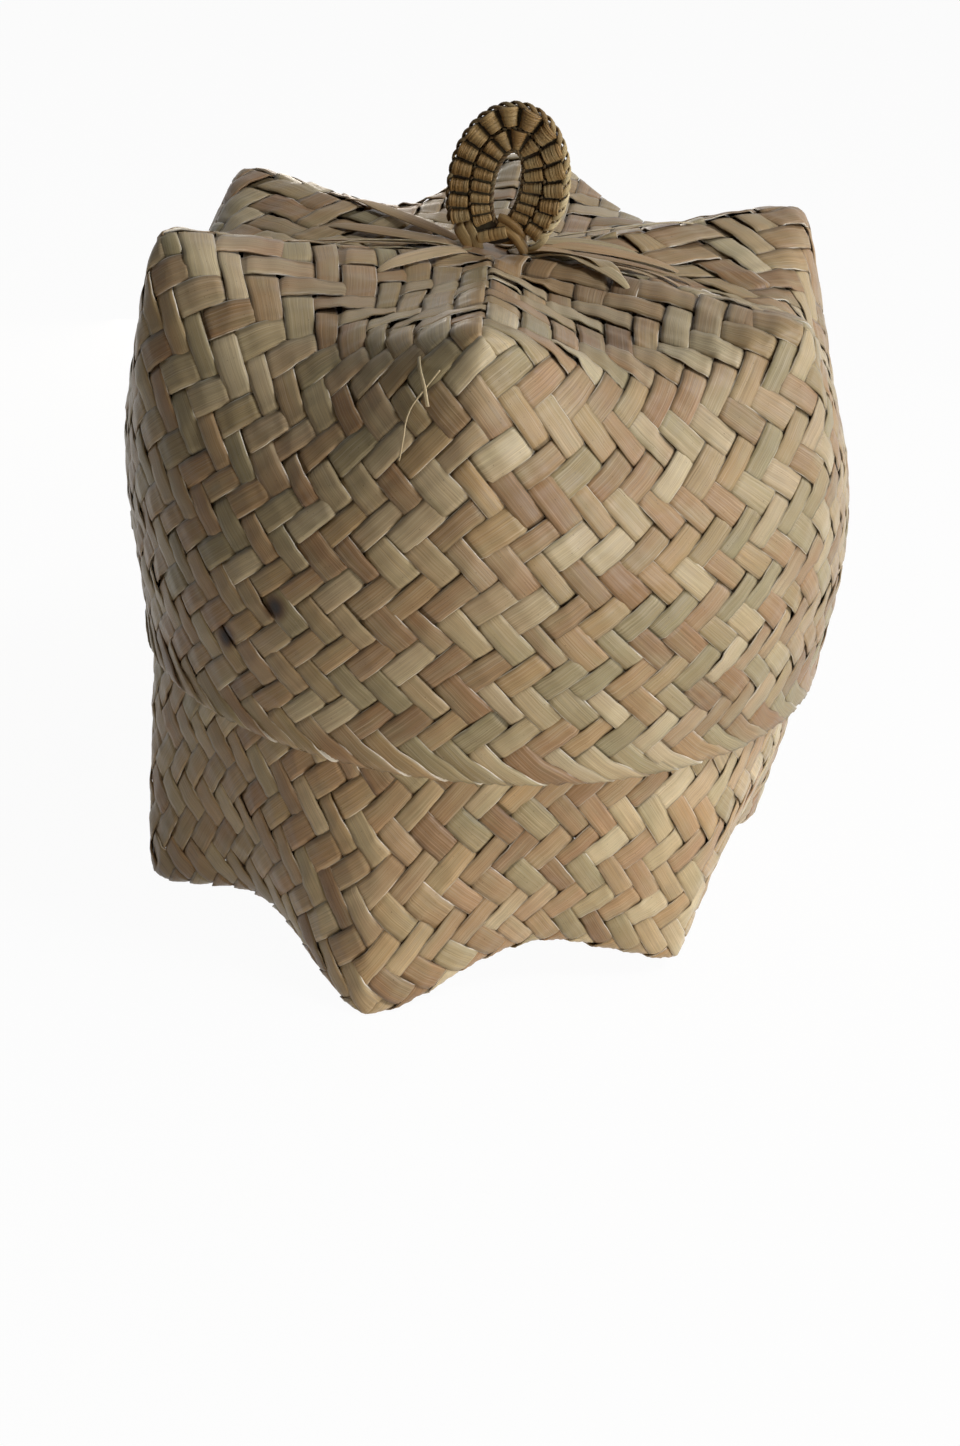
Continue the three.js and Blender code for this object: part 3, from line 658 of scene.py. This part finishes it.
def place_roll(name, start, end, start_radius, end_radius, model, turn):
    """A copy of a roll model, tapered and set between two points of the knob's plane."""
    roll = bpy.data.objects.new(name, roll_models[model].data.copy())
    scene.collection.objects.link(roll)
    mesh = roll.data
    points = np.empty(len(mesh.vertices) * 3)
    mesh.vertices.foreach_get("co", points)
    points = points.reshape(-1, 3)
    length = np.linalg.norm(end - start)
    share = points[:, 2] / points[:, 2].max()
    radius = start_radius + (end_radius - start_radius) * share
    angle = np.arctan2(points[:, 1], points[:, 0])
    uv = np.stack([share * length, (angle + turn) * start_radius + 40 * turn], axis=-1)
    cut = np.abs(share * 2 - 1)
    shaped = np.stack([points[:, 0] * radius, points[:, 1] * radius, share * length], axis=-1)
    mesh.vertices.foreach_set("co", (shaped * MM).ravel())
    spoke = Vector((end - start) / length)
    turned = spoke.to_track_quat("Z", "Y").to_matrix().to_4x4() @ Matrix.Rotation(turn, 4, "Z")
    mesh.transform(knob_place @ Matrix.Translation(Vector(start) * MM) @ turned)
    # Painted shade: the roll's sides, where it meets its neighbours, are marked for the material to darken
    # as the shade in the slits
    bulge = np.abs(shaped @ np.array(turned.to_3x3())[1]) / radius
    groove = 1 - np.clip(bulge / 0.9, 0, 1)
    corners = np.empty(len(mesh.loops), dtype=np.int32)
    mesh.loops.foreach_get("vertex_index", corners)
    mesh.uv_layers.new(name="leaf_mm").data.foreach_set("uv", uv[corners].ravel())
    for key, values in (("tint", np.full(len(points), (turn * 0.37) % 1)), ("edge", cut * 0.92),
                        ("dip", groove)):
        mesh.attributes.new(key, "FLOAT", "POINT").data.foreach_set("value", values)
    mesh.shade_smooth()
    mesh.materials.append(rolled_leaf)
    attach(roll, "lid")
    return roll


ROLLS_IN_RING = 16
ROLL_CROWDING = 0.15      # how much closer the rolls stand at the loop's ends than evenly
ROLL_SKEW = 15            # degrees that the rolls on the right stand up from square
LACE_ROOM = 0.4           # mm from a lace's line to a roll's end
for ring, lines, ends in (("outer_roll", (0.5, 1.0), OUTER_ENDS), ("inner_roll", (0.0, 0.5), INNER_ENDS)):
    line = sum(lines) / 2
    angles = ring_angles(line, ends, ROLLS_IN_RING, ROLL_CROWDING)
    middles = loop_point(line, angles)
    square = outward(line, angles)
    skew = np.radians(ROLL_SKEW * np.maximum(np.cos(angles), 0) + draw.normal(0, 2, ROLLS_IN_RING))
    spokes = np.stack([square[:, 0] * np.cos(skew) - square[:, 2] * np.sin(skew), square[:, 1],
                       square[:, 0] * np.sin(skew) + square[:, 2] * np.cos(skew)], axis=-1)
    lean = np.sum(spokes * square, axis=-1)
    reach = [np.sum((loop_point(lace, angles) - middles) * square, axis=-1) / lean for lace in lines]
    sideways = np.stack([0 * angles, draw.uniform(-0.25, 0.25, ROLLS_IN_RING), 0 * angles], axis=-1)
    starts = middles + spokes * (reach[0] + LACE_ROOM)[:, None] + sideways
    ends = middles + spokes * (reach[1] - LACE_ROOM)[:, None] + sideways
    for place in range(ROLLS_IN_RING):
        near = [other for other in (place - 1, place + 1) if 0 <= other < ROLLS_IN_RING]
        radii = []
        for tips in (starts, ends):
            radii.append(min(np.linalg.norm(tips[other] - tips[place]) for other in near) / 2)
        swell = draw.uniform(0.95, 1.0)
        name = f"{ring}_{place + 1:02d}"
        roll = place_roll(f"wound_{name}", starts[place], ends[place], radii[0] * swell, radii[1] * swell,
                          int(draw.integers(ROLL_MODELS)), draw.uniform(0, 6))
        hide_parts(name)


def on_knob(points):
    """Points of the knob's own plane, in mm, carried to where it stands on the lid."""
    return points @ np.array(knob_turn).T + knob_foot


# The flat core behind the rolls: matt leaf painted near black, its dip set full, as painted shade in the
# slits between them
CORE_THICKNESS = 0.9
shade_core_leaf = dried_leaf("painted_shade_core_leaf", ("#33230f", "#3b2a15"), 0.2, "#4a3820", 0.5, (0.6, 0.8))
core_parts = []
for inner, outer, ends in ((0.05, 0.55, (270, -90)), (0.45, 0.95, OUTER_ENDS)):
    core_angles = ring_angles(0.5, ends, 80)
    core_sides = []
    for line, side in ((inner, -0.5), (outer, -0.5), (outer, 0.5), (inner, 0.5)):
        core_sides.append(loop_point(line, core_angles) + np.array([0, side * CORE_THICKNESS, 0]))
    core_rings = np.stack(core_sides, axis=1)
    shape = core_rings.shape[:2]
    core_parts.append({"rings": on_knob(core_rings), "uv": core_rings[..., [0, 2]], "tint": np.zeros(shape),
                       "edge": np.zeros(shape), "dip": np.ones(shape)})
core = leaf_object("knob_core", core_parts, cut_sides=range(4))
core.data.materials.append(shade_core_leaf)
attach(core, "lid")

# The knob's laces: leaf twisted into fine dark cord, sewn round the eye and between the two rings, and a
# pair of strips twined along the outer edge, thin and dark on the left, broad and pale on the right.


def tube(path, across, half_width, half_depth, sides, tint, start):
    """A closed tube of elliptical section along a path, in mm; across is the section's wide direction."""
    along = np.gradient(path, axis=0)
    along /= np.linalg.norm(along, axis=1, keepdims=True)
    across = across - along * np.sum(across * along, axis=1, keepdims=True)
    across /= np.linalg.norm(across, axis=1, keepdims=True)
    deep = np.cross(along, across)
    turn = np.linspace(0, 2 * np.pi, sides, endpoint=False)
    half_width, half_depth, tint = (np.broadcast_to(size, len(path))[:, None]
                                    for size in (half_width, half_depth, tint))
    rings = (path[:, None] + across[:, None] * (half_width * np.cos(turn))[..., None]
             + deep[:, None] * (half_depth * np.sin(turn))[..., None])
    travelled = np.concatenate([[0], np.cumsum(np.linalg.norm(np.diff(path, axis=0), axis=1))])
    uv = np.stack(np.broadcast_arrays(np.cos(turn) * half_width, travelled[:, None] + start), axis=-1)
    shape = rings.shape[:2]
    return {"rings": rings, "uv": uv, "tint": np.broadcast_to(tint, shape),
            "edge": np.broadcast_to(np.abs(np.cos(turn)), shape), "dip": np.full(shape, 0.2)}


def twisted_lace(line, angles, pitch, spread, half_width, half_depth, tint):
    """Two strands twisted round one line of the loop; each size is one number or one for each station."""
    middle = loop_point(line, angles)
    travelled = np.concatenate([[0], np.cumsum(np.linalg.norm(np.diff(middle, axis=0), axis=1))])
    facing = np.array([0, -1.0, 0])
    outwards = outward(line, angles)
    spread_out, spread_front = (np.broadcast_to(size, len(angles))[:, None] for size in spread)
    strands = []
    for strand in range(2):
        phase = (2 * np.pi * travelled / pitch + np.pi * strand)[:, None]
        path = middle + outwards * np.cos(phase) * spread_out + facing * np.sin(phase) * spread_front
        across = outwards * np.sin(phase) - facing * np.cos(phase)
        strands.append(tube(on_knob(path), across @ np.array(knob_turn).T, half_width, half_depth, 8,
                            tint + 0.12 * strand, 300 * strand))
    return strands


def smooth_path(points, count):
    """Points on a smooth curve through a few given ones."""
    points = np.array(points, dtype=float)
    padded = np.concatenate([[2 * points[0] - points[1]], points, [2 * points[-1] - points[-2]]])
    place = np.linspace(0, len(points) - 1, count)
    which = np.minimum(place.astype(int), len(points) - 2)
    part = (place - which)[:, None]
    p0, p1, p2, p3 = (padded[which + shift] for shift in range(4))
    return 0.5 * (2 * p1 + (p2 - p0) * part + (2 * p0 - 5 * p1 + 4 * p2 - p3) * part ** 2
                  + (3 * p1 - p0 - 3 * p2 + p3) * part ** 3)


# Twisted lace: dry matt leaf, from dark brown round the eye to pale straw at the loop's right edge
LACE_TINTS = ("#4a351d", "#674d2c", "#866a42", "#a88e60", "#c9b386")
leaf_lace = dried_leaf("twisted_leaf_lace", LACE_TINTS, 0.2, "#d8c69c", 0.5, (0.5, 0.65))
LACE_STEPS = 420
EDGE_LINE = 0.995
EDGE_END_STEPS = 30
growth = smooth((np.linspace(0, 1, LACE_STEPS) - 0.35) / 0.55)
eye_angles = np.radians(np.linspace(270, -90, LACE_STEPS))
middle_angles = ring_angles(0.5, OUTER_ENDS, LACE_STEPS)
edge_angles = ring_angles(EDGE_LINE, OUTER_ENDS, LACE_STEPS)
laces = {
    "knob_eye_lace": twisted_lace(0, eye_angles, 2.3, (0.4, 0.3), 0.42, 0.3, 0.04),
    "knob_middle_lace": twisted_lace(0.5, middle_angles, 2.6, (0.25, 0.5), 0.36, 0.28, 0.0),
    "knob_edge_lace": twisted_lace(EDGE_LINE, edge_angles, 6.4, (0.5 + 0.35 * growth, 0.9),
                                   0.55 + 0.3 * growth, 0.4, 0.1 + 0.75 * growth),
}
edge_end = on_knob(smooth_path([(12.9, -0.6, 7.4), (12.3, -0.9, 5.6), (11.0, -0.8, 3.8), (9.0, -0.4, 1.9),
                                (7.6, 0.0, 0.2)], EDGE_END_STEPS))
edge_wide = np.repeat(np.array([[0.6, 0.2, -0.8]]), EDGE_END_STEPS, axis=0)
laces["knob_edge_lace"].append(tube(edge_end, edge_wide, 0.85, 0.35, 8, 0.85, 70))
for name, strands in laces.items():
    lace = leaf_object(f"twined_{name}", strands)
    lace.data.materials.append(leaf_lace)
    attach(lace, "lid")
    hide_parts(name)

# The knob's tails and the wrap between them: two flat strips from the loop's left end and two rolled
# strands from under the eye, bound by a short wound wrap and drawn down into the star's centre.

TAIL_STEPS = 40
# Of each strand: the points that it passes in mm, its wide direction, half its width and depth, and its tint
tails = {
    "knob_tail_left": [
        ([(-10.2, 0.6, 3.8), (-9.4, -0.8, 2.4), (-7.5, -1.4, 0.8), (-5.9, -1.4, -0.5), (-5.0, -0.8, -2.0)],
         (0.65, 0.0, 0.75), 1.6, 0.35, 0.55),
        ([(-8.2, 0.4, 4.6), (-7.2, -0.8, 3.6), (-5.3, -1.4, 1.9), (-3.9, -1.3, 0.2), (-3.2, -0.8, -1.6)],
         (0.65, 0.0, 0.75), 1.4, 0.35, 0.3),
        ([(-7.5, 0.9, 3.5), (-3.0, 1.2, 2.6), (3.0, 1.2, 3.4), (7.5, 1.0, 5.0)],
         (0.0, 0.2, 1.0), 1.8, 0.7, 0.0),
    ],
    "knob_tail_right": [
        ([(0.0, 0.2, 8.0), (1.4, -0.2, 8.1), (3.6, -0.4, 7.6), (5.8, -0.2, 6.5), (7.0, 0.6, 5.4)],
         (0.3, 0.2, 0.9), 1.2, 1.05, 0.2),
        ([(0.2, 0.4, 6.2), (1.9, 0.0, 5.8), (5.0, -0.4, 4.6), (7.2, -0.5, 2.9), (8.4, -0.3, 1.4),
          (8.9, 0.0, -0.6)], (0.4, 0.2, 0.8), 1.4, 1.2, 0.45),
    ],
}
for name, strips in tails.items():
    strands = []
    for points, across, half_width, half_depth, tint in strips:
        path = on_knob(smooth_path(points, TAIL_STEPS))
        wide = np.repeat(np.array([across]), TAIL_STEPS, axis=0)
        strands.append(tube(path, wide, half_width, half_depth, 16, tint, 500 * tint))
    tail = leaf_object(f"bundled_{name}", strands)
    tail.data.materials.append(rolled_leaf)
    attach(tail, "lid")
    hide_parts(name)

wrap_left, wrap_right = np.array([-4.1, -0.5, 1.5]), np.array([2.8, -0.5, 5.3])
wrap = place_roll("wound_knob_cross_wrap", wrap_left, wrap_right, 1.65, 1.75, 3, 1.3)
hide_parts("knob_cross_wrap")

# Loose slivers round the knob: ends split off the strips and laid over the plait where it was pulled
# tight, some narrow and curled. Two pale fibres stand off the lid's front corner, where a strip has split.

SLIVER_STEPS = 40
SLIVER_LIE = 0.35             # mm that a sliver's ends lie over the plait, before they dip into it
SLIVER_DIP = 1.2              # mm
# Level and angle where each starts and ends, half its width and its height over the plait in mm, and tint
slivers = [
    (0.9, 30, 6.3, 2, 2.3, 1.5, 0.15), (1.1, 12, 6.6, -16, 2.5, 1.7, 0.72),
    (0.9, 45, 5.4, 24, 2.0, 1.3, 0.45), (1.4, -8, 5.6, -27, 1.9, 1.4, 0.3),
    (0.8, 60, 7.0, 41, 2.2, 1.2, 0.85), (1.6, 22, 7.4, 9, 1.5, 1.9, 0.02),
    (1.0, 2, 5.0, -24, 2.3, 1.8, 0.5), (1.2, 36, 6.9, 17, 2.0, 1.7, 0.66),
    (0.9, 196, 7.6, 189, 2.3, 1.5, 0.55), (1.0, 184, 6.8, 176, 2.0, 1.3, 0.12),
    (1.2, 212, 5.8, 214, 2.1, 1.6, 0.4), (1.0, 228, 5.4, 236, 2.2, 1.3, 0.78),
    (1.5, 203, 8.2, 203, 1.4, 2.0, 0.0), (1.1, 170, 6.4, 160, 2.0, 1.2, 0.6),
]
share = np.linspace(0, 1, SLIVER_STEPS)
nearness_to_end = np.abs(2 * share - 1)
loose_parts = []
for number, (level, angle, last_level, last_angle, half_width, height, tint) in enumerate(slivers):
    levels = level + (last_level - level) * share
    angles = angle + (last_angle - angle) * share ** 0.6
    out = face_normal(lid_form, levels, angles)
    arched = (height - SLIVER_LIE) * np.sin(np.pi * share) ** 0.7
    lie = SLIVER_LIE + arched - SLIVER_DIP * nearness_to_end ** 6
    path = stray(rounded_face(lid_form, levels, angles) + out * lie[:, None], lid_form, lid_strays)
    taper = half_width * (1 - 0.75 * nearness_to_end ** 3)
    across = np.cross(out, np.gradient(path, axis=0))
    loose_parts.append(tube(path, across, taper, 0.2, 10, tint, 700 * number))
# Levels and angles that each split fibre passes, and half its width in mm
fibres = [
    ([(12.1, 271.8), (12.7, 272.8), (13.5, 273.8), (14.5, 274.3)], 0.5),
    ([(12.8, 275.5), (13.6, 274.0), (14.4, 272.5), (15.1, 271.8), (16.0, 271.5), (17.1, 271.0)], 0.24),
]
for stations, half_width in fibres:
    levels, angles = smooth_path([(level, angle, 0) for level, angle in stations], SLIVER_STEPS).T[:2]
    out = face_normal(lid_form, levels, angles)
    lie = 0.3 + 1.4 * np.sin(np.pi * share)
    path = stray(rounded_face(lid_form, levels, angles) + out * lie[:, None], lid_form, lid_strays)
    across = np.cross(out, np.gradient(path, axis=0))
    loose_parts.append(tube(path, across, half_width, 0.14, 6, 0.86, 90))
# A folded leaf closes the star's centre under the knob
pad = on_knob(smooth_path([(-7.0, 0, -1.4), (-2.0, 0, -0.9), (2.0, 0, -0.9), (7.0, 0, -1.4)], SLIVER_STEPS))
pad_wide = np.repeat(np.array([[0, 1.0, 0]]), SLIVER_STEPS, axis=0)
loose_parts.append(tube(pad, pad_wide, 6.0, 0.3, 10, 0.0, 30))
loose = leaf_object("lid_slivers", loose_parts)
loose.data.materials.append(pandan)
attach(loose, "lid")
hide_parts("lid_shell")

# The tie under the lid: the ends of the tails' leaf, drawn through the star's centre and knotted flat
# against its inside, so that the knob can't be pulled out. It is hidden when the lid is on.

KNOT_STEPS = 121
KNOT_SIZE = np.array([1.85, 1.85, 0.75])
tie_low, tie_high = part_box("knob_tie")
tie_middle = (tie_low.z + tie_high.z) / 2 / MM
turn = np.linspace(0, 2 * np.pi, KNOT_STEPS)
knot = np.stack([np.sin(turn) + 2 * np.sin(2 * turn), np.cos(turn) - 2 * np.cos(2 * turn),
                 -np.sin(3 * turn)], axis=-1)
knot = knot * KNOT_SIZE + np.array([lid_form["shift"], 0, tie_middle])
flat = np.repeat(np.array([[0, 0, 1.0]]), KNOT_STEPS, axis=0)
tie = leaf_object("knotted_tie", [tube(knot, flat, 0.8, 1.7, 12, 0.3, 0)])
tie.data.materials.append(leaf_lace)
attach(tie, "lid")
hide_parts("knob_tie")

# The roll models have been copied to their places and go.
for model in roll_models:
    bpy.data.objects.remove(model)
